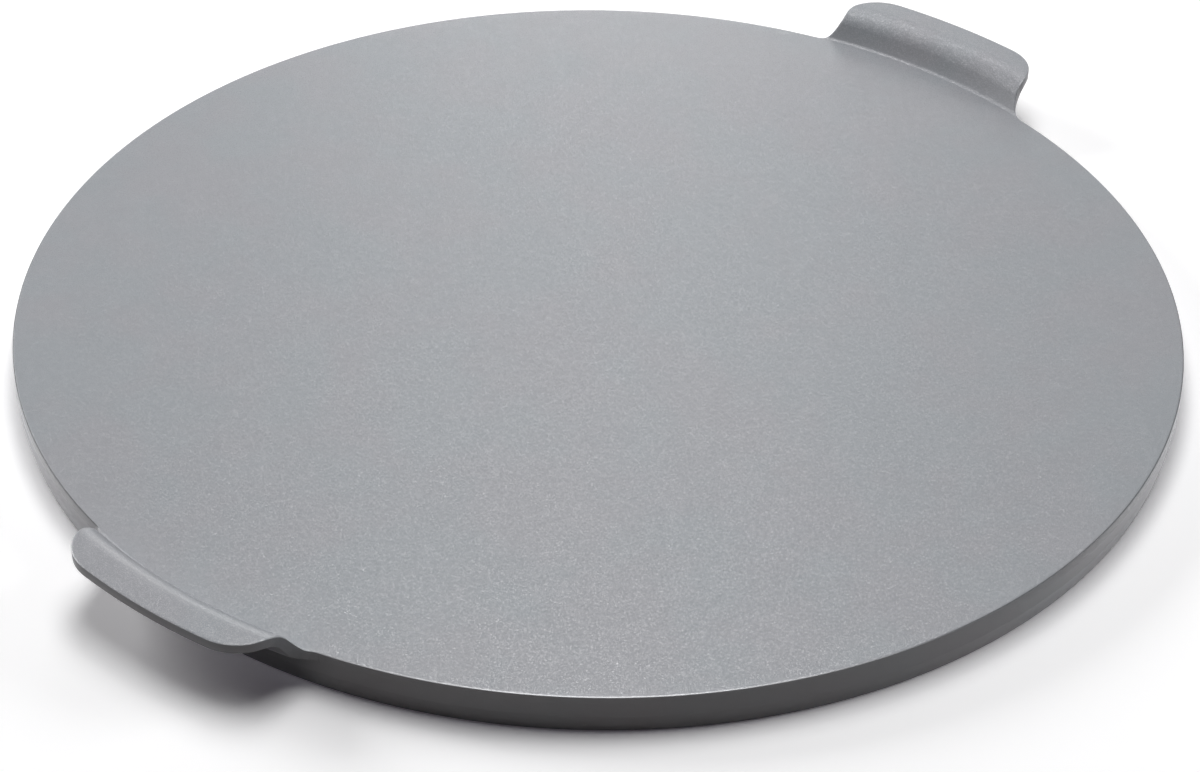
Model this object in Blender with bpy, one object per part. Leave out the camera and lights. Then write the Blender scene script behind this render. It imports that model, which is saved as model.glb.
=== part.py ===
"""Round cast pizza pan with a turned-down skirt and two lip handles.

Metres, +Z up. The pan stands on z = 0, its centre is on the Z axis and its two
handles lie along X. The pan is one casting in real life. Here it is divided at
its natural lines into the plate, the skirt under the plate's edge and the two
handles that grow out of that edge, with a hairline gap between them.
"""
import math

import bmesh
import bpy

# Baking plate
PLATE_RADIUS = 0.1778
PLATE_THICKNESS = 0.0032
PLATE_EDGE_RADIUS = 0.0006

# Skirt: it stands on the table and carries the plate's edge
PAN_HEIGHT = 0.0131
UPRIGHT_DEPTH = 0.0069
CREASE_RADIUS = 0.0030
CREASE_ANGLE = math.radians(8.5)
SKIRT_TUCK = 0.0012
SKIRT_DRAFT = 0.0012
FOOT_WIDTH = 0.0030
FOOT_EDGE_RADIUS = 0.0004

# Handles: a sheet that rises from the plate's edge and rolls over to a flat lip
HANDLE_OVERHANG = 0.0189
HANDLE_RISE = 0.0095
HANDLE_THICKNESS = 0.0032
HANDLE_STRAIGHT_EDGE = 0.0416
HANDLE_CORNER_RADIUS = 0.0141
HANDLE_FLARE_RADIUS = 0.0083
HANDLE_ROOT_RADIUS = 0.0015
HANDLE_ROLL_RADIUS = 0.0097
HANDLE_WALL_ANGLE = math.radians(58.5)
HANDLE_EDGE_ROUNDING = 0.0006
FLARE_TIP_WIDTH = 0.0010
ROUNDING_START = 0.0020

# Hairline between neighbours
GAP = 0.0003

# Fineness of the round shapes
ROUND_STEPS = 120
ARC_STEPS = 8
CREASE_STEPS = 2
ROOT_SCORES = 3
ROLL_SCORES = 7
CROSS_CUT_SPACING = 0.0030
WELD = 1e-6


def clear_scene():
    for thing in list(bpy.data.objects):
        bpy.data.objects.remove(thing, do_unlink=True)


def coated_metal(name, color, roughness):
    material = bpy.data.materials.new(name)
    material.use_nodes = True
    shader = material.node_tree.nodes["Principled BSDF"]
    shader.inputs["Base Color"].default_value = (*color, 1.0)
    shader.inputs["Metallic"].default_value = 0.6
    shader.inputs["Roughness"].default_value = roughness
    return material


def add_piece(name, bm, material, parent):
    """Turn a bmesh into a smooth-shaded object with its faces pointing out."""
    bmesh.ops.recalc_face_normals(bm, faces=bm.faces)
    mesh = bpy.data.meshes.new(name)
    bm.to_mesh(mesh)
    bm.free()
    mesh.shade_smooth()
    mesh.set_sharp_from_angle(angle=math.radians(30))
    mesh.materials.append(material)
    piece = bpy.data.objects.new(name, mesh)
    piece.parent = parent
    bpy.context.collection.objects.link(piece)
    return piece


def arc(centre, radius, start, end, steps=ARC_STEPS):
    """Points along an arc in a plane, from angle start to angle end, both ends included."""
    points = []
    for step in range(steps + 1):
        angle = start + (end - start) * step / steps
        points.append((centre[0] + radius * math.cos(angle), centre[1] + radius * math.sin(angle)))
    return points


def edges_at_height(bm, height):
    return [edge for edge in bm.edges if all(abs(vert.co.z - height) < WELD for vert in edge.verts)]


def make_plate(material, parent):
    """A flat disc whose top edge is rounded over."""
    bm = bmesh.new()
    bmesh.ops.create_circle(bm, cap_ends=True, radius=PLATE_RADIUS, segments=ROUND_STEPS)
    bmesh.ops.translate(bm, verts=bm.verts, vec=(0, 0, PAN_HEIGHT))
    below = bmesh.ops.extrude_face_region(bm, geom=bm.faces[:])["geom"]
    moved = [item for item in below if isinstance(item, bmesh.types.BMVert)]
    bmesh.ops.translate(bm, verts=moved, vec=(0, 0, -PLATE_THICKNESS))
    bmesh.ops.bevel(bm, geom=edges_at_height(bm, PAN_HEIGHT), affect="EDGES",
                    offset=PLATE_EDGE_RADIUS, segments=3, profile=0.5, material=-1)
    return add_piece("plate", bm, material, parent)


def tucked_wall():
    """The outer wall below its upright part: a soft crease, then a curve in to the foot."""
    crease = arc((PLATE_RADIUS - CREASE_RADIUS, PAN_HEIGHT - UPRIGHT_DEPTH), CREASE_RADIUS,
                 0, -CREASE_ANGLE, CREASE_STEPS)
    out, height = crease[-1]
    inward = out - (PLATE_RADIUS - SKIRT_TUCK)
    foot_angle = 2 * math.atan(inward / height) - CREASE_ANGLE
    radius = math.hypot(inward, height) / (2 * math.sin((foot_angle - CREASE_ANGLE) / 2))
    centre = (out - radius * math.cos(CREASE_ANGLE), height + radius * math.sin(CREASE_ANGLE))
    return crease + arc(centre, radius, -CREASE_ANGLE, -foot_angle)[1:]


def skirt_section():
    """Closed section of the skirt as (radius, height) points.

    The outer wall is upright under the plate and then tucked in to the foot.
    The inner wall leans, so the section is thinnest at the foot.
    """
    top = PAN_HEIGHT - PLATE_THICKNESS - GAP
    foot_out = PLATE_RADIUS - SKIRT_TUCK
    foot_in = foot_out - FOOT_WIDTH
    wall = tucked_wall()
    wall[-1] = (foot_out, FOOT_EDGE_RADIUS)
    section = [(PLATE_RADIUS, top)]
    section += wall
    section += [(foot_out - FOOT_EDGE_RADIUS, 0), (foot_in + FOOT_EDGE_RADIUS, 0)]
    section += [(foot_in, FOOT_EDGE_RADIUS), (foot_in - SKIRT_DRAFT, top)]
    return section


def make_skirt(material, parent):
    """The section turned once round the Z axis."""
    bm = bmesh.new()
    corners = [bm.verts.new((radius, 0, height)) for radius, height in skirt_section()]
    edges = [bm.edges.new((corners[i - 1], corners[i])) for i in range(len(corners))]
    bmesh.ops.spin(bm, geom=corners + edges, cent=(0, 0, 0), axis=(0, 0, 1), dvec=(0, 0, 0),
                   angle=math.tau, steps=ROUND_STEPS, use_merge=True, use_duplicate=False)
    return add_piece("skirt", bm, material, parent)


def half_outline():
    """Half of the handle drawn flat: (distance out from the rim, distance along the rim).

    From the middle of the outer edge round the corner arc, and down the flare
    arc that meets the corner arc and runs out along the rim. The flare stops a
    little short of the rim, where it is still FLARE_TIP_WIDTH wide.
    """
    straight = HANDLE_STRAIGHT_EDGE / 2
    corner_centre = HANDLE_OVERHANG - HANDLE_CORNER_RADIUS
    outward = HANDLE_FLARE_RADIUS - corner_centre
    between_centres = HANDLE_FLARE_RADIUS + HANDLE_CORNER_RADIUS
    lean = math.asin(outward / between_centres)
    flare_centre = straight + between_centres * math.cos(lean)
    tip = math.acos(1 - FLARE_TIP_WIDTH / HANDLE_FLARE_RADIUS)
    corner = arc((corner_centre, straight), HANDLE_CORNER_RADIUS, 0, math.pi / 2 - lean)
    flare = arc((HANDLE_FLARE_RADIUS, flare_centre), HANDLE_FLARE_RADIUS,
                math.pi * 1.5 - lean, math.pi + tip)
    return corner + flare[1:]


def roll_centre():
    """Distance out from the root at which the handle's section has become level."""
    steep = math.sin(HANDLE_WALL_ANGLE)
    drop = 1 - math.cos(HANDLE_WALL_ANGLE)
    straight_rise = HANDLE_RISE - (HANDLE_ROOT_RADIUS + HANDLE_ROLL_RADIUS) * drop
    straight_run = straight_rise / math.tan(HANDLE_WALL_ANGLE)
    return (HANDLE_ROOT_RADIUS + HANDLE_ROLL_RADIUS) * steep + straight_run


def lip_height(out, depth):
    """Height above the plate's top of the surface that lies depth below the handle's upper one.

    The section rises from the rim in a root arc, runs on as a straight wall
    and rolls over to a level lip. Depth is measured square to the section.
    """
    root = HANDLE_ROOT_RADIUS + depth
    roll = HANDLE_ROLL_RADIUS - depth
    level = roll_centre()
    steep = math.sin(HANDLE_WALL_ANGLE)
    if out < root * steep:
        return HANDLE_ROOT_RADIUS - math.sqrt(root ** 2 - max(out, 0) ** 2)
    if out < level - roll * steep:
        wall_start = HANDLE_ROOT_RADIUS - root * math.cos(HANDLE_WALL_ANGLE)
        return wall_start + (out - root * steep) * math.tan(HANDLE_WALL_ANGLE)
    to_level = max(level - out, 0)
    return HANDLE_RISE - HANDLE_ROLL_RADIUS + math.sqrt(roll ** 2 - to_level ** 2)


def bend_lines():
    """Distances out from the rim at which the flat blank is scored before it is bent.

    Both faces of the blank have their own lines, because the inside of a bend
    is tighter than its outside.
    """
    lines = []
    for depth in (0, HANDLE_THICKNESS):
        for step in range(1, ROOT_SCORES + 1):
            slope = HANDLE_WALL_ANGLE * step / ROOT_SCORES
            lines.append(GAP + (HANDLE_ROOT_RADIUS + depth) * math.sin(slope))
        for step in range(ROLL_SCORES):
            slope = HANDLE_WALL_ANGLE * (1 - step / ROLL_SCORES)
            lines.append(GAP + roll_centre() - (HANDLE_ROLL_RADIUS - depth) * math.sin(slope))
    lines.append(GAP + roll_centre())
    return lines


def cut_across(bm, axis, place):
    """Score every face along the plane where one coordinate equals place."""
    point = [0, 0, 0]
    normal = [0, 0, 0]
    point[axis] = place
    normal[axis] = 1
    bmesh.ops.bisect_plane(bm, geom=bm.verts[:] + bm.edges[:] + bm.faces[:],
                           dist=WELD, plane_co=point, plane_no=normal)


def wrap_and_bend(vert):
    """Carry a point of the flat blank to its place on the pan.

    x is the distance out from the rim and y the distance along it. z is zero on
    the sheet's upper surface and negative inside it. Every point keeps its
    place seen from above, as a mould that opens straight up would leave it.
    """
    upper = lip_height(vert.co.x - GAP, 0)
    lower = lip_height(vert.co.x - GAP, HANDLE_THICKNESS)
    height = upper + (upper - lower) * vert.co.z / HANDLE_THICKNESS
    radius = PLATE_RADIUS + vert.co.x
    angle = vert.co.y / PLATE_RADIUS
    vert.co = (radius * math.cos(angle), radius * math.sin(angle), PAN_HEIGHT + height)


def make_handle(name, turn, material, parent):
    """Cut a flat blank, round its free edges, score it, then wrap it round the plate's edge."""
    half = half_outline()
    mirrored = [(out, -along) for out, along in reversed(half)]
    root_end = half[-1][1]
    outline = [(GAP, -root_end)] + mirrored + half + [(GAP, root_end)]
    bm = bmesh.new()
    blank = bm.faces.new([bm.verts.new((out, along, 0)) for out, along in outline])
    below = bmesh.ops.extrude_face_region(bm, geom=[blank])["geom"]
    moved = [item for item in below if isinstance(item, bmesh.types.BMVert)]
    bmesh.ops.translate(bm, verts=moved, vec=(0, 0, -HANDLE_THICKNESS))
    outer = edges_at_height(bm, 0) + edges_at_height(bm, -HANDLE_THICKNESS)
    free = [edge for edge in outer if min(vert.co.x for vert in edge.verts) > ROUNDING_START]
    bmesh.ops.bevel(bm, geom=free, affect="EDGES", offset=HANDLE_EDGE_ROUNDING,
                    segments=2, profile=0.5, material=-1)
    for line in bend_lines():
        cut_across(bm, 0, line)
    cross_cuts = math.ceil(root_end / CROSS_CUT_SPACING)
    for step in range(1 - cross_cuts, cross_cuts):
        cut_across(bm, 1, root_end * step / cross_cuts)
    for vert in bm.verts:
        wrap_and_bend(vert)
    piece = add_piece(name, bm, material, parent)
    piece.rotation_euler[2] = turn
    return piece


def build():
    clear_scene()
    turned_finish = coated_metal("coated plate", (0.36, 0.37, 0.38), 0.42)
    cast_finish = coated_metal("coated casting", (0.34, 0.345, 0.35), 0.50)
    pan = bpy.data.objects.new("pizza_pan", None)
    bpy.context.collection.objects.link(pan)
    make_plate(turned_finish, pan)
    make_skirt(cast_finish, pan)
    make_handle("right_handle", 0.0, cast_finish, pan)
    make_handle("left_handle", math.pi, cast_finish, pan)


build()
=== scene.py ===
"""Looks of a round cast pizza pan with a grey speckled non-stick coating.

Metres, +Z up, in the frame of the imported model: the pan stands on z = 0, its
centre is on the Z axis and its two handles lie along X. The pan is one casting
in real life, so its four pieces close up at the seams and carry the same coating.
"""
import math

import bmesh
import bpy
from mathutils import Matrix, Quaternion, Vector


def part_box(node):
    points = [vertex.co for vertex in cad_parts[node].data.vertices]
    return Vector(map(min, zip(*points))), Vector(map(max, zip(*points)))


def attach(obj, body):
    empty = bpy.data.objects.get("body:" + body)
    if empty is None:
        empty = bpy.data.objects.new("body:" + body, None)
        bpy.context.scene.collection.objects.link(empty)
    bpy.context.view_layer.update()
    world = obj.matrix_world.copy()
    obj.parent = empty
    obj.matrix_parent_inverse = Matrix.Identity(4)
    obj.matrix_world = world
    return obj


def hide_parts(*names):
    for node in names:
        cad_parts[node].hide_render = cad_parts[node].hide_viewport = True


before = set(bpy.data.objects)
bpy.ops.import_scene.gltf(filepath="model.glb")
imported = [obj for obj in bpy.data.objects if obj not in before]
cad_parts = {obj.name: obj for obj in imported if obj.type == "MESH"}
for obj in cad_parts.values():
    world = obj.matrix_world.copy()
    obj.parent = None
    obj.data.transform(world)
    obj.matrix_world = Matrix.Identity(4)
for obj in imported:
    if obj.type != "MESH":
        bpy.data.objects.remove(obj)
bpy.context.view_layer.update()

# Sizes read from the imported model
plate_low, plate_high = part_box("plate")
_, handle_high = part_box("right_handle")
PLATE_RADIUS = plate_high.y
PAN_HEIGHT = plate_high.z
THICKNESS = plate_high.z - plate_low.z
HANDLE_OVERHANG = handle_high.x - PLATE_RADIUS
HANDLE_RISE = handle_high.z - PAN_HEIGHT

# Rounded edge of the plate and of the handles: wider than it is deep
EDGE_WIDTH = 0.0008
EDGE_DEPTH = 0.0003
EDGE_STEPS = 8

# Handle outline and section, as in the model
HANDLE_STRAIGHT_EDGE = 0.0416
HANDLE_CORNER_RADIUS = 0.0141
HANDLE_FLARE_RADIUS = 0.0083
HANDLE_ROOT_RADIUS = 0.0015
HANDLE_ROLL_RADIUS = 0.0097
HANDLE_WALL_ANGLE = math.radians(58.5)
FADE_ANGLE = math.radians(50)

# Skirt
UPRIGHT_DEPTH = 0.0069
CREASE_RADIUS = 0.0030
CREASE_ANGLE = math.radians(8.5)
SKIRT_TUCK = 0.0012
SKIRT_DRAFT = 0.0012
FOOT_WIDTH = 0.0030
FOOT_EDGE_RADIUS = 0.0005
FOOT_EDGE_STEPS = 4
RECESS_FILLET = 0.0020

# Fineness of the shapes
ROUND_STEPS = 720
BAND_WIDTH = 0.0060
SEAM = 0.00002
ROOT_SCORES = 10
ROLL_SCORES = 14
ARC_STEP = math.radians(2.5)
WELD = 1e-6
SHARP_ANGLE = math.radians(40)

# Camera
LENS = 98.4
SENSOR_WIDTH = 36.0
VIEW_AZIMUTH = math.radians(-51.95)
VIEW_ELEVATION = math.radians(36.94)
VIEW_ROLL = math.radians(0.99)
VIEW_DISTANCE = 0.9726
AIM_RIGHT = 0.0007
AIM_NEARER = 0.0413

# Floor: it turns white between two distances from the pan's centre. Its colour is paler where it
# is seen than where it throws light back at the pan, and a faint glow lifts the deepest shadow
FLOOR_SIZE = 40.0
WHITE_FLOOR_FROM = 0.19
WHITE_FLOOR_TO = 0.38
FLOOR_SEEN = (1.15, 1.15, 1.15, 1.0)
FLOOR_GLOW = (0.022, 0.018, 0.025, 1.0)
FLOOR_BOUNCE = (0.33, 0.29, 0.275, 1.0)

LAMP_DISTANCE = 1.2
# Soft boxes: azimuth (0 is behind the pan as the camera sees it, 90 to its right), elevation,
# width, and brightness of a white card that faces the box from the pan's place
LAMPS = {
    "overhead soft box": (0, 90, 0.72, 0.41),
    "soft box above and behind": (0, 69, 0.50, 0.20),
    "soft box behind": (0, 46, 0.50, 0.04),
    "low soft box behind": (0, 16, 0.45, 0.08),
    "soft box on the left": (-60, 25, 0.65, 0.62),
    "soft box on the right": (84, 26, 0.65, 0.35),
}

# Coating: two greys that it drifts between, and the sizes of its faint patterns
WARM_GREY = (0.246, 0.250, 0.270, 1.0)
COOL_GREY = (0.236, 0.252, 0.272, 1.0)
TINT_SIZE = 0.030
PATCH_SIZE = 0.012
GRAIN_SIZE = 0.0004

# How much these patterns lighten or darken the grey
GRAIN_SHADE = 0.06
PATCH_SHADE = 0.05
SCUFF_SHADE = 0.10

# Roughness of the coating, and how far patches, scuffs, the edge and low viewing angles change it
DULLNESS = 0.38
PATCH_DULLNESS = 0.06
SCUFF_GLOSS = 0.08
EDGE_DULLNESS = 0.30
LOW_VIEW_DULLNESS = 0.50

# Scuffs: two directions, spacing, the share of places with one, and width over length
SCUFF_TURNS = (0.5, 2.1)
SCUFF_SPACING = 0.016
SCUFF_SHARE = 0.0015
SCUFF_SIZE = 0.40
SCUFF_NARROWNESS = 0.022

# Waves in the surface, as cast on the handles and nearly flat on the plate
WAVE_SIZE = 0.0012
CASTING_WAVES = 0.000012
PLATE_WAVES = 0.000001

# Metal flakes: size, lean, colour, roughness, and the share of the surface that shows them
FLAKE_SIZE = 0.00018
FLAKE_LEAN = 0.22
FLAKE_METAL = (0.55, 0.55, 0.56, 1.0)
PLATE_FLAKE_ROUGHNESS = 0.25
CASTING_FLAKE_ROUGHNESS = 0.40
PLATE_FLAKES = 0.26
CASTING_FLAKES = 0.30

# Share of metal on walls seen at a low angle, so that they mirror the pale floor
LOW_VIEW_METAL = 0.55

# Tones, as shares of the plate's: level parts of the handles, their steep walls (darker as painted
# shade), and the plate's edge (darker as a painted dark line)
CASTING_TONE = 0.94
WALL_PAINTED_SHADE = 0.78
EDGE_PAINTED_SHADE = 0.30

# Metal on the plate's edge, on the side that faces the camera and that this level direction points
# to, where it catches the lamps as a painted highlight line
EDGE_HIGHLIGHT_METAL = 0.40
HIGHLIGHT_SIDE_X = -0.787
HIGHLIGHT_SIDE_Y = -0.616

# Widths over which the plate's coating ends at the rim and the handles' begins
RIM_BLEND = 0.0001
HANDLE_BLEND = 0.0030


def arc(centre, radius, start, end):
    """Points along an arc in a plane, from angle start to angle end, both ends included."""
    steps = math.ceil(abs(end - start) / ARC_STEP)
    points = []
    for step in range(steps + 1):
        angle = start + (end - start) * step / steps
        points.append((centre[0] + radius * math.cos(angle), centre[1] + radius * math.sin(angle)))
    return points


def smooth_step(share):
    share = min(max(share, 0), 1)
    return share * share * (3 - 2 * share)


def add_piece(name, node, bm, material):
    """Turn a bmesh into a smooth-shaded piece that stands for one node of the model."""
    bmesh.ops.recalc_face_normals(bm, faces=bm.faces)
    mesh = bpy.data.meshes.new(name)
    bm.to_mesh(mesh)
    bm.free()
    mesh.shade_smooth()
    mesh.set_sharp_from_angle(angle=SHARP_ANGLE)
    mesh.materials.append(material)
    piece = bpy.data.objects.new(name, mesh)
    bpy.context.scene.collection.objects.link(piece)
    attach(piece, "root")
    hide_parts(node)
    return piece


def everything(bm):
    return bm.verts[:] + bm.edges[:] + bm.faces[:]


def flare_centre():
    """Centre of the arc along which the handle's outline runs out into the rim."""
    outward = HANDLE_FLARE_RADIUS - (HANDLE_OVERHANG - HANDLE_CORNER_RADIUS)
    between_centres = HANDLE_FLARE_RADIUS + HANDLE_CORNER_RADIUS
    lean = math.asin(outward / between_centres)
    along = HANDLE_STRAIGHT_EDGE / 2 + between_centres * math.cos(lean)
    return (HANDLE_FLARE_RADIUS, along), lean


def handle_outline():
    """Half of the handle drawn flat, from the middle of its outer edge to the rim."""
    centre, lean = flare_centre()
    corner_centre = (HANDLE_OVERHANG - HANDLE_CORNER_RADIUS, HANDLE_STRAIGHT_EDGE / 2)
    corner = arc(corner_centre, HANDLE_CORNER_RADIUS, 0, math.pi / 2 - lean)
    flare = arc(centre, HANDLE_FLARE_RADIUS, math.pi * 1.5 - lean, math.pi)
    return corner + flare[1:]


def roll_centre():
    """Distance out from the rim line at which the handle's section has become level."""
    steep = math.sin(HANDLE_WALL_ANGLE)
    drop = 1 - math.cos(HANDLE_WALL_ANGLE)
    straight_rise = HANDLE_RISE - (HANDLE_ROOT_RADIUS + HANDLE_ROLL_RADIUS) * drop
    straight_run = straight_rise / math.tan(HANDLE_WALL_ANGLE)
    return (HANDLE_ROOT_RADIUS + HANDLE_ROLL_RADIUS) * steep + straight_run


def lip_height(out, depth):
    """Height above the plate's top of the surface that lies depth below the handle's upper one.

    The section rises from the rim in a root arc, runs on as a straight wall
    and rolls over to a level lip. Depth is measured square to the section.
    """
    root = HANDLE_ROOT_RADIUS + depth
    roll = HANDLE_ROLL_RADIUS - depth
    level = roll_centre()
    steep = math.sin(HANDLE_WALL_ANGLE)
    if out < root * steep:
        return HANDLE_ROOT_RADIUS - math.sqrt(root ** 2 - max(out, 0) ** 2)
    if out < level - roll * steep:
        wall_start = HANDLE_ROOT_RADIUS - root * math.cos(HANDLE_WALL_ANGLE)
        return wall_start + (out - root * steep) * math.tan(HANDLE_WALL_ANGLE)
    to_level = max(level - out, 0)
    return HANDLE_RISE - HANDLE_ROLL_RADIUS + math.sqrt(roll ** 2 - to_level ** 2)


def bend_lines():
    """Distances out from the rim line at which the flat sheet is scored before it is bent.

    The scores of the root lie closer together towards the plate, so that the
    handle starts out level with it.
    """
    lines = []
    for depth in (0, THICKNESS):
        for step in range(1, ROOT_SCORES + 1):
            slope = HANDLE_WALL_ANGLE * (step / ROOT_SCORES) ** 1.5
            lines.append((HANDLE_ROOT_RADIUS + depth) * math.sin(slope))
        for step in range(ROLL_SCORES + 1):
            slope = HANDLE_WALL_ANGLE * step / ROLL_SCORES
            lines.append(roll_centre() - (HANDLE_ROLL_RADIUS - depth) * math.sin(slope))
    return sorted(set(lines))


def cut(bm, axis, place, **options):
    """Cut every face along the plane where one coordinate equals place."""
    point = Vector((0, 0, 0))
    normal = Vector((0, 0, 0))
    point[axis] = place
    normal[axis] = 1
    bmesh.ops.bisect_plane(bm, geom=everything(bm), dist=WELD, plane_co=point,
                           plane_no=normal, **options)


def flatten_roundings(bm):
    """Make the round bevels of the sheet's edges EDGE_DEPTH deep, so they end in a crisp corner."""
    for vert in bm.verts:
        if vert.co.z > -EDGE_WIDTH - WELD:
            vert.co.z *= EDGE_DEPTH / EDGE_WIDTH
        elif vert.co.z < EDGE_WIDTH - THICKNESS + WELD:
            vert.co.z = (vert.co.z + THICKNESS) * EDGE_DEPTH / EDGE_WIDTH - THICKNESS


def fade_lower_rounding(bm):
    """Let the rounding of the handle's lower edge die away where the flare meets the rim."""
    (centre_out, centre_along), _ = flare_centre()
    for vert in bm.verts:
        above = vert.co.z + THICKNESS
        back = centre_along - abs(vert.co.y)
        inward = centre_out - vert.co.x
        reach = math.hypot(back, inward)
        in_flare = back > -WELD and inward > 0 and reach < HANDLE_FLARE_RADIUS + EDGE_WIDTH + WELD
        if not in_flare or above > EDGE_DEPTH + WELD:
            continue
        size = smooth_step(math.atan2(back, inward) / FADE_ANGLE)
        stretch = (HANDLE_FLARE_RADIUS + size * (reach - HANDLE_FLARE_RADIUS)) / reach
        vert.co.x = centre_out - inward * stretch
        vert.co.y = math.copysign(centre_along - back * stretch, vert.co.y)
        vert.co.z = -THICKNESS + size * above


def round_edges(bm, flare_end):
    """Round the sheet's upper edge all along, and its lower edge on the handle and its flares."""
    upper = [edge for edge in bm.edges
             if all(vert.co.z > -WELD and vert.co.x > -WELD for vert in edge.verts)]
    lower = [edge for edge in bm.edges
             if all(vert.co.z < WELD - THICKNESS and vert.co.x > -WELD
                    and abs(vert.co.y) < flare_end + WELD for vert in edge.verts)]
    bmesh.ops.bevel(bm, geom=upper + lower, affect="EDGES", offset=EDGE_WIDTH,
                    segments=EDGE_STEPS, profile=0.5, material=-1)
    flatten_roundings(bm)
    fade_lower_rounding(bm)
    bmesh.ops.remove_doubles(bm, verts=bm.verts, dist=WELD)


def flat_rim():
    """Half of the pan's rim with one handle, cut flat from a thick sheet and scored.

    x is the distance out from the rim line, y the distance along it, and z is
    zero on the sheet's upper surface.
    """
    half_rim = PLATE_RADIUS * math.pi / 2
    half = handle_outline()
    mirrored = [(out, -along) for out, along in reversed(half)]
    outline = [(-BAND_WIDTH, -half_rim), (0, -half_rim)] + mirrored
    outline += half + [(0, half_rim), (-BAND_WIDTH, half_rim)]
    bm = bmesh.new()
    sheet = bm.faces.new([bm.verts.new((out, along, 0)) for out, along in outline])
    below = bmesh.ops.extrude_face_region(bm, geom=[sheet])["geom"]
    moved = [item for item in below if isinstance(item, bmesh.types.BMVert)]
    bmesh.ops.translate(bm, verts=moved, vec=(0, 0, -THICKNESS))
    round_edges(bm, half[-1][1])
    for line in bend_lines():
        cut(bm, 0, line)
    return bm


def wrap_and_bend(bm):
    """Carry the flat sheet to its place on the pan, bent to the handle's section.

    Every point keeps its place seen from above, as a mould that opens
    straight up would leave it.
    """
    steps = ROUND_STEPS // 2
    spacing = PLATE_RADIUS * math.pi / steps
    for step in range(1, steps):
        cut(bm, 1, spacing * (step - steps / 2))
    for vert in bm.verts:
        radius = PLATE_RADIUS + vert.co.x
        angle = vert.co.y / PLATE_RADIUS
        upper = lip_height(vert.co.x, 0)
        lower = lip_height(vert.co.x, THICKNESS)
        height = PAN_HEIGHT + upper + (upper - lower) * vert.co.z / THICKNESS
        vert.co = (radius * math.cos(angle), radius * math.sin(angle), height)


def close_cut(bm):
    """Fill the opening that a cut left at the seam between plate and handle."""
    rim = [edge for edge in bm.edges if edge.is_boundary]
    bmesh.ops.edgeloop_fill(bm, edges=rim)


def make_plate(material):
    """The two halves of the rim without their handles, joined and filled to a disc."""
    bm = flat_rim()
    cut(bm, 0, SEAM, clear_outer=True)
    close_cut(bm)
    half_rim = PLATE_RADIUS * math.pi / 2
    inner = [face for face in bm.faces
             if all(vert.co.x < WELD - BAND_WIDTH for vert in face.verts)
             or all(abs(vert.co.y) > half_rim - WELD for vert in face.verts)]
    bmesh.ops.delete(bm, geom=inner, context="FACES")
    wrap_and_bend(bm)
    other = bmesh.ops.duplicate(bm, geom=everything(bm))["geom"]
    moved = [item for item in other if isinstance(item, bmesh.types.BMVert)]
    bmesh.ops.rotate(bm, verts=moved, cent=(0, 0, 0), matrix=Matrix.Rotation(math.pi, 3, "Z"))
    bmesh.ops.remove_doubles(bm, verts=bm.verts, dist=WELD)
    bmesh.ops.edgeloop_fill(bm, edges=[edge for edge in bm.edges if edge.is_boundary])
    return add_piece("baking_plate", "plate", bm, material)


def make_handle(name, node, turn, material):
    """One lip handle with its root and flares, cut off the rim at the seam."""
    bm = flat_rim()
    cut(bm, 0, SEAM, clear_inner=True)
    close_cut(bm)
    wrap_and_bend(bm)
    bmesh.ops.rotate(bm, verts=bm.verts, cent=(0, 0, 0), matrix=Matrix.Rotation(turn, 3, "Z"))
    return add_piece(name, node, bm, material)


def tucked_wall():
    """The outer wall below its upright part: a soft crease, then a curve to the foot."""
    crease = arc((PLATE_RADIUS - CREASE_RADIUS, PAN_HEIGHT - UPRIGHT_DEPTH), CREASE_RADIUS,
                 0, -CREASE_ANGLE)
    out, height = crease[-1]
    inward = out - (PLATE_RADIUS - SKIRT_TUCK)
    foot_angle = 2 * math.atan(inward / height) - CREASE_ANGLE
    radius = math.hypot(inward, height) / (2 * math.sin((foot_angle - CREASE_ANGLE) / 2))
    centre = (out - radius * math.cos(CREASE_ANGLE), height + radius * math.sin(CREASE_ANGLE))
    return crease + arc(centre, radius, -CREASE_ANGLE, -foot_angle)[1:]


def skirt_section():
    """Closed section of the skirt as (radius, height) points.

    The inner wall leans, and a fillet joins it to the underside of the plate.
    """
    top = PAN_HEIGHT - THICKNESS
    foot_in = PLATE_RADIUS - SKIRT_TUCK - FOOT_WIDTH
    lean = math.atan(SKIRT_DRAFT / top)
    meets = top - RECESS_FILLET + RECESS_FILLET * math.sin(lean)
    middle = foot_in - meets * math.tan(lean) - RECESS_FILLET * math.cos(lean)
    fillet = arc((middle, top - RECESS_FILLET), RECESS_FILLET, lean, math.pi / 2)
    return [(PLATE_RADIUS, top)] + tucked_wall() + [(foot_in, 0)] + fillet


def make_skirt(material):
    """The section turned once round the Z axis, with the edges of its foot rounded.

    Those edges are the two circles of the foot, not the short lines across it.
    """
    bm = bmesh.new()
    corners = [bm.verts.new((radius, 0, height)) for radius, height in skirt_section()]
    edges = [bm.edges.new((corners[i - 1], corners[i])) for i in range(len(corners))]
    bmesh.ops.spin(bm, geom=corners + edges, cent=(0, 0, 0), axis=(0, 0, 1), dvec=(0, 0, 0),
                   angle=math.tau, steps=ROUND_STEPS, use_merge=True, use_duplicate=False)
    foot = [edge for edge in bm.edges
            if all(abs(vert.co.z) < WELD for vert in edge.verts)
            and abs(edge.verts[0].co.length - edge.verts[1].co.length) < FOOT_WIDTH / 2]
    bmesh.ops.bevel(bm, geom=foot, affect="EDGES", offset=FOOT_EDGE_RADIUS,
                    segments=FOOT_EDGE_STEPS, profile=0.5, material=-1)
    return add_piece("pan_skirt", "skirt", bm, material)


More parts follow.
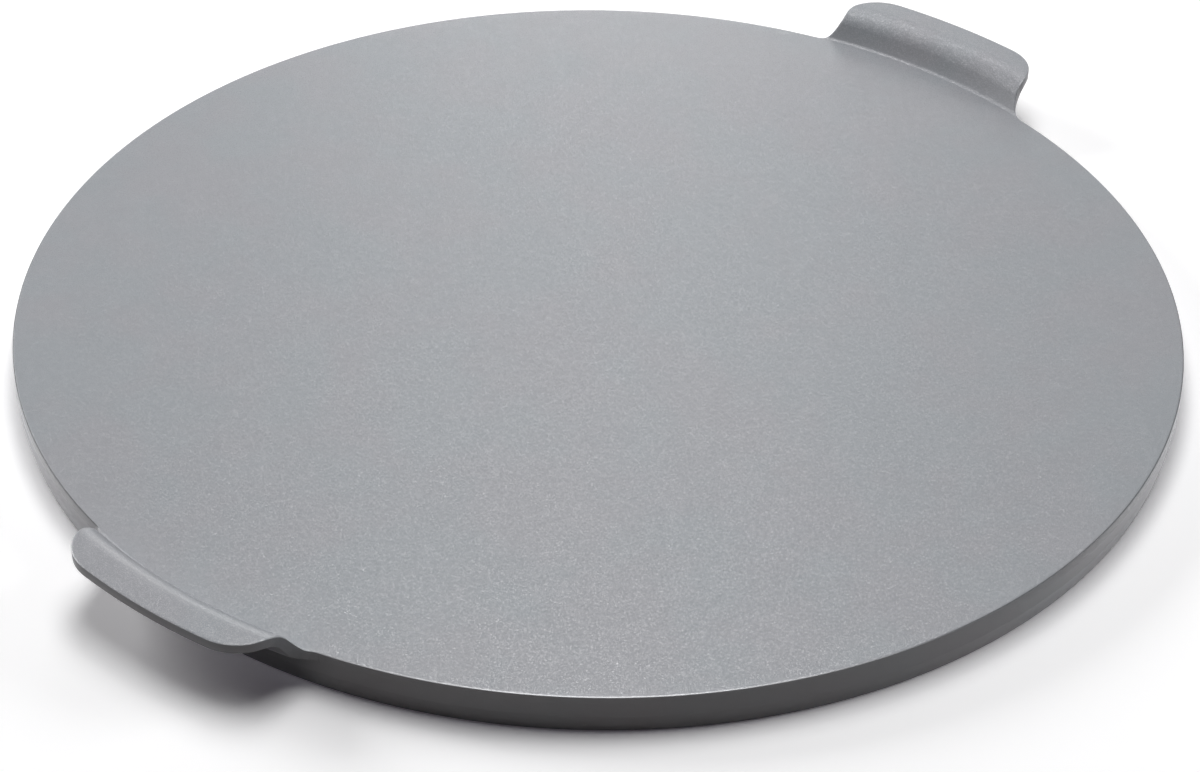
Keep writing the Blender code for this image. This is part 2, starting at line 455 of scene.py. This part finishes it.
class Output:
    """An output of a node. Arithmetic on it adds Math nodes to its material."""

    def __init__(self, shading, socket):
        self.shading = shading
        self.socket = socket

    def math(self, operation, first, second):
        return self.shading.node("ShaderNodeMath", {"operation": operation}, {0: first, 1: second})

    def __add__(self, other):
        return self.math("ADD", self, other)

    def __radd__(self, other):
        return self.math("ADD", other, self)

    def __sub__(self, other):
        return self.math("SUBTRACT", self, other)

    def __rsub__(self, other):
        return self.math("SUBTRACT", other, self)

    def __mul__(self, other):
        return self.math("MULTIPLY", self, other)

    def __rmul__(self, other):
        return self.math("MULTIPLY", other, self)

    def __truediv__(self, other):
        return self.math("DIVIDE", self, other)

    def __pow__(self, other):
        return self.math("POWER", self, other)

    def part(self, name):
        """Another output of the same node."""
        return Output(self.shading, self.socket.node.outputs[name])


class Shading:
    """The node tree of a material, a lamp or the world, emptied and built anew."""

    def __init__(self, owner):
        owner.use_nodes = True
        self.tree = owner.node_tree
        self.tree.nodes.clear()

    def node(self, kind, settings=None, inputs=None, output=0):
        """Add a node, set it up, fill its inputs with numbers or outputs, and return an output."""
        made = self.tree.nodes.new(kind)
        for name, value in (settings or {}).items():
            setattr(made, name, value)
        for name, value in (inputs or {}).items():
            if isinstance(value, Output):
                self.tree.links.new(value.socket, made.inputs[name])
            else:
                made.inputs[name].default_value = value
        return Output(self, made.outputs[output]) if made.outputs else None

    def noise(self, place, size, detail=2.0):
        """A soft random value from 0 to 1 whose patches are about size across."""
        return self.node("ShaderNodeTexNoise", None,
                         {"Vector": place, "Scale": 1 / size, "Detail": detail}, "Fac")

    def rising(self, value, start, end):
        """0 where value is below start, 1 above end, with a smooth change between."""
        return self.node("ShaderNodeMapRange", {"interpolation_type": "SMOOTHSTEP"},
                         {"Value": value, "From Min": start, "From Max": end})

    def mix(self, share, first, second):
        """A colour between two colours."""
        return self.node("ShaderNodeMix", {"data_type": "RGBA"}, {0: share, 6: first, 7: second}, 2)

    def vector(self, operation, *values):
        """Vector maths on one or two vectors."""
        return self.node("ShaderNodeVectorMath", {"operation": operation}, dict(enumerate(values)))

    def scaled(self, vector, factor):
        return self.node("ShaderNodeVectorMath", {"operation": "SCALE"},
                         {0: vector, "Scale": factor})

    def cells(self, place, size, output):
        """Random cells about size wide."""
        return self.node("ShaderNodeTexVoronoi", None, {"Vector": place, "Scale": 1 / size}, output)

    def flecks(self, place, spacing, share, size):
        """Round specks, 1 in their middle, in a share of cells that are about spacing wide."""
        distance = self.cells(place, spacing, "Distance")
        lot = self.node("ShaderNodeSeparateColor", None, {"Color": distance.part("Color")}, "Red")
        chosen = self.rising(lot, 1 - share, 1 - share * 0.9)
        return chosen * (1 - self.rising(distance, size * 0.4, size))

    def scuffs(self, place, turn):
        """A few long fine scratches that all run one way."""
        along = self.node("ShaderNodeMapping", {"vector_type": "TEXTURE"}, {
            "Vector": place,
            "Rotation": (0, 0, turn),
            "Scale": (1.0, SCUFF_NARROWNESS, 1.0),
        })
        return self.flecks(along, SCUFF_SPACING, SCUFF_SHARE, SCUFF_SIZE)

    def leaning_normal(self, colour, lean):
        """The surface's normal, tipped another way in each cell by the cell's random colour."""
        tip = self.scaled(self.vector("SUBTRACT", colour, (1.0, 1.0, 1.0)), lean)
        straight = self.node("ShaderNodeNewGeometry", output="Normal")
        return self.vector("NORMALIZE", self.vector("ADD", tip, straight))


class Zones:
    """Masks that are 1 on one part of the pan and 0 elsewhere, told apart by place and slope.

    Two of them also follow how low the angle is at which the surface is seen.
    """

    def __init__(self, shading):
        rising = shading.rising
        self.place = shading.node("ShaderNodeTexCoord", output="Object")
        x = shading.node("ShaderNodeSeparateXYZ", None, {"Vector": self.place}, "X")
        y = x.part("Y")
        z = x.part("Z")
        radius = (x * x + y * y) ** 0.5
        normal = shading.node("ShaderNodeNewGeometry", output="Normal")
        self.upward = shading.node("ShaderNodeSeparateXYZ", None, {"Vector": normal}, "Z")

        self.handle = rising(radius, PLATE_RADIUS, PLATE_RADIUS + HANDLE_BLEND)
        within_rim = 1 - rising(radius, PLATE_RADIUS, PLATE_RADIUS + RIM_BLEND)
        self.plate_top = within_rim * rising(z, PAN_HEIGHT - EDGE_DEPTH,
                                             PAN_HEIGHT - EDGE_DEPTH / 2)
        self.edge = self.plate_top * (1 - rising(self.upward, 0.90, 0.99))
        # Metal is shown on the side of the edge that faces the camera, so that it catches the lamps
        # as a painted highlight line
        towards_highlight_side = (x * HIGHLIGHT_SIDE_X + y * HIGHLIGHT_SIDE_Y) / PLATE_RADIUS
        self.highlight_edge = self.edge * rising(towards_highlight_side, 0.80, 0.96)
        # The rest of the edge is painted darker below: a painted dark line for the dark
        # surroundings that the rounding would reflect
        self.coated_edge_painted_dark = self.edge - self.highlight_edge

        facing_away = shading.node("ShaderNodeLayerWeight", None, {"Blend": 0.5}, "Facing")
        below_top = 1 - rising(z, PAN_HEIGHT - EDGE_DEPTH * 2, PAN_HEIGHT - EDGE_DEPTH)
        self.low_level = rising(facing_away, 0.50, 0.78) * rising(self.upward, 0.97, 0.995)
        self.low_wall = rising(facing_away, 0.45, 1.0) * below_top


def dull_coat(shading, zones):
    """The coating's grey, with faint patches, grain and scuffs.

    Level surfaces are rougher where they are seen at a low angle, so that a
    lamp opposite doesn't whiten them.
    """
    place = zones.place
    tint = shading.rising(shading.noise(place, TINT_SIZE, 3.0), 0.35, 0.65)
    patches = shading.noise(place, PATCH_SIZE) - 0.5
    grain = shading.noise(place, GRAIN_SIZE) - 0.5
    scuffed = sum(shading.scuffs(place, turn) for turn in SCUFF_TURNS) * zones.plate_top
    # Painted shade: the handles' steep walls get a darker tone, standing for how the lamps fall on
    # them
    steep = 1 - shading.rising(zones.upward, 0.50, 0.95)
    handle_tone_and_wall_shade = CASTING_TONE - steep * (CASTING_TONE - WALL_PAINTED_SHADE)
    # The coated part of the plate's edge is darkened as well: painted shade, a dark line standing
    # for a dark reflection
    tone_and_shade = (1 - zones.handle * (1 - handle_tone_and_wall_shade)) * (1 - zones.coated_edge_painted_dark * (1 - EDGE_PAINTED_SHADE))
    shade = 1 + grain * GRAIN_SHADE + patches * PATCH_SHADE + scuffed * SCUFF_SHADE
    roughness = (DULLNESS + patches * PATCH_DULLNESS - scuffed * SCUFF_GLOSS
                 + zones.coated_edge_painted_dark * EDGE_DULLNESS + zones.low_level * LOW_VIEW_DULLNESS)
    waves = shading.noise(place, WAVE_SIZE) * (zones.handle * CASTING_WAVES + PLATE_WAVES)
    bump = shading.node("ShaderNodeBump", None,
                        {"Strength": 1.0, "Distance": 1.0, "Height": waves})
    return shading.node("ShaderNodeBsdfPrincipled", None, {
        "Base Color": shading.scaled(shading.mix(tint, WARM_GREY, COOL_GREY), shade * tone_and_shade),
        "Roughness": roughness,
        "Normal": bump,
    })


def metal_flakes(shading, zones, flake_share, flake_roughness):
    """The metal of flakes that lie flat in the coating, and the share of the surface it shows on.

    The same metal shows on the side of the edge that faces the camera, as a painted highlight, and
    on walls seen at a low angle.
    """
    fine = shading.cells(zones.place, FLAKE_SIZE, "Color")
    both = shading.vector("ADD", fine, shading.cells(zones.place, FLAKE_SIZE * 1.7, "Color"))
    lot = shading.node("ShaderNodeSeparateColor", None, {"Color": fine}, "Blue")
    laid_flat = shading.rising(zones.upward, 0.1, 0.9) * (1 - zones.edge)
    fewer = 1 - zones.low_level * 0.8
    flakes = shading.rising(lot, 0.5, 1.0) * laid_flat * fewer * flake_share
    share = flakes + zones.highlight_edge * EDGE_HIGHLIGHT_METAL + zones.low_wall * LOW_VIEW_METAL
    metal = shading.node("ShaderNodeBsdfPrincipled", None, {
        "Base Color": FLAKE_METAL,
        "Metallic": 1.0,
        "Roughness": flake_roughness,
        "Normal": shading.leaning_normal(both, laid_flat * FLAKE_LEAN),
    })
    return metal, share


def coating(name, flake_share, flake_roughness):
    """Dull grey non-stick coating with metal flakes in it, metal on the edge's side towards the
    camera as a painted highlight, and a painted dark line on the rest of the edge.
    """
    material = bpy.data.materials.new(name)
    shading = Shading(material)
    zones = Zones(shading)
    dull = dull_coat(shading, zones)
    metal, share = metal_flakes(shading, zones, flake_share, flake_roughness)
    surface = shading.node("ShaderNodeMixShader", None, {0: share, 1: dull, 2: metal})
    shading.node("ShaderNodeOutputMaterial", None, {"Surface": surface})
    return material


def seen_directly(shading):
    """1 for what the camera, a reflection or a clear view shows, 0 for light on the object."""
    rays = shading.node("ShaderNodeLightPath", output="Is Camera Ray")
    return rays + rays.part("Is Glossy Ray") + rays.part("Is Transmission Ray")


def make_floor():
    """Pale floor that takes the pan's shadow and turns plain white away from it."""
    bm = bmesh.new()
    bmesh.ops.create_grid(bm, x_segments=1, y_segments=1, size=FLOOR_SIZE / 2)
    mesh = bpy.data.meshes.new("floor")
    bm.to_mesh(mesh)
    bm.free()
    floor = bpy.data.objects.new("floor", mesh)
    bpy.context.scene.collection.objects.link(floor)

    material = bpy.data.materials.new("pale floor")
    shading = Shading(material)
    seen = seen_directly(shading)
    place = shading.node("ShaderNodeTexCoord", output="Object")
    away = shading.node("ShaderNodeVectorMath", {"operation": "LENGTH"}, {0: place}, "Value")
    plain = seen * shading.rising(away, WHITE_FLOOR_FROM, WHITE_FLOOR_TO)
    paint = shading.mix(seen, FLOOR_BOUNCE, FLOOR_SEEN)
    lit = shading.node("ShaderNodeBsdfDiffuse", None, {"Color": paint})
    glow = shading.node("ShaderNodeEmission", None, {"Color": FLOOR_GLOW, "Strength": seen})
    lifted = shading.node("ShaderNodeAddShader", None, {0: lit, 1: glow})
    white = shading.node("ShaderNodeEmission")
    surface = shading.node("ShaderNodeMixShader", None, {0: plain, 1: lifted, 2: white})
    shading.node("ShaderNodeOutputMaterial", None, {"Surface": surface})
    mesh.materials.append(material)


def make_world():
    """White where it is seen, and dark for everything else."""
    world = bpy.data.worlds.new("studio")
    bpy.context.scene.world = world
    shading = Shading(world)
    surface = shading.node("ShaderNodeBackground", None, {
        "Color": (1.0, 1.0, 1.0, 1.0),
        "Strength": seen_directly(shading),
    })
    shading.node("ShaderNodeOutputWorld", None, {"Surface": surface})


def view_directions():
    """Unit vectors: from the pan to the camera, to the camera's right, and level away from it."""
    right = Vector((math.cos(VIEW_AZIMUTH), math.sin(VIEW_AZIMUTH), 0))
    away = Vector((-math.sin(VIEW_AZIMUTH), math.cos(VIEW_AZIMUTH), 0))
    back = Vector((0, 0, math.sin(VIEW_ELEVATION))) - away * math.cos(VIEW_ELEVATION)
    return back, right, away


def make_lamp(name, azimuth, elevation, width, level):
    """A round soft box that looks at the pan and gives a white card there the brightness level."""
    _, right, away = view_directions()
    turn = math.radians(azimuth)
    rise = math.radians(elevation)
    level_part = away * math.cos(turn) + right * math.sin(turn)
    towards = level_part * math.cos(rise) + Vector((0, 0, math.sin(rise)))
    light = bpy.data.lights.new(name, "AREA")
    light.shape = "DISK"
    light.size = width
    light.energy = level * (math.pi * LAMP_DISTANCE) ** 2
    lamp = bpy.data.objects.new(name, light)
    lamp.location = towards * LAMP_DISTANCE
    lamp.rotation_mode = "QUATERNION"
    lamp.rotation_quaternion = towards.to_track_quat("Z", "Y")
    bpy.context.scene.collection.objects.link(lamp)


def make_camera():
    back, right, away = view_directions()
    lens = bpy.data.cameras.new("camera")
    lens.lens = LENS
    lens.sensor_width = SENSOR_WIDTH
    lens.clip_start = 0.05
    lens.clip_end = 100.0
    camera = bpy.data.objects.new("camera", lens)
    aim = Vector((0, 0, PAN_HEIGHT)) + right * AIM_RIGHT - away * AIM_NEARER
    camera.location = aim + back * VIEW_DISTANCE
    camera.rotation_mode = "QUATERNION"
    camera.rotation_quaternion = back.to_track_quat("Z", "Y") @ Quaternion((0, 0, 1), VIEW_ROLL)
    bpy.context.scene.collection.objects.link(camera)
    bpy.context.scene.camera = camera


bpy.context.scene.view_settings.view_transform = "Standard"
plate_coating = coating("coated plate", PLATE_FLAKES, PLATE_FLAKE_ROUGHNESS)
casting_coating = coating("coated casting", CASTING_FLAKES, CASTING_FLAKE_ROUGHNESS)
make_plate(plate_coating)
make_skirt(casting_coating)
make_handle("right_lip_handle", "right_handle", 0.0, casting_coating)
make_handle("left_lip_handle", "left_handle", math.pi, casting_coating)
make_floor()
make_world()
for lamp_name, settings in LAMPS.items():
    make_lamp(lamp_name, *settings)
make_camera()
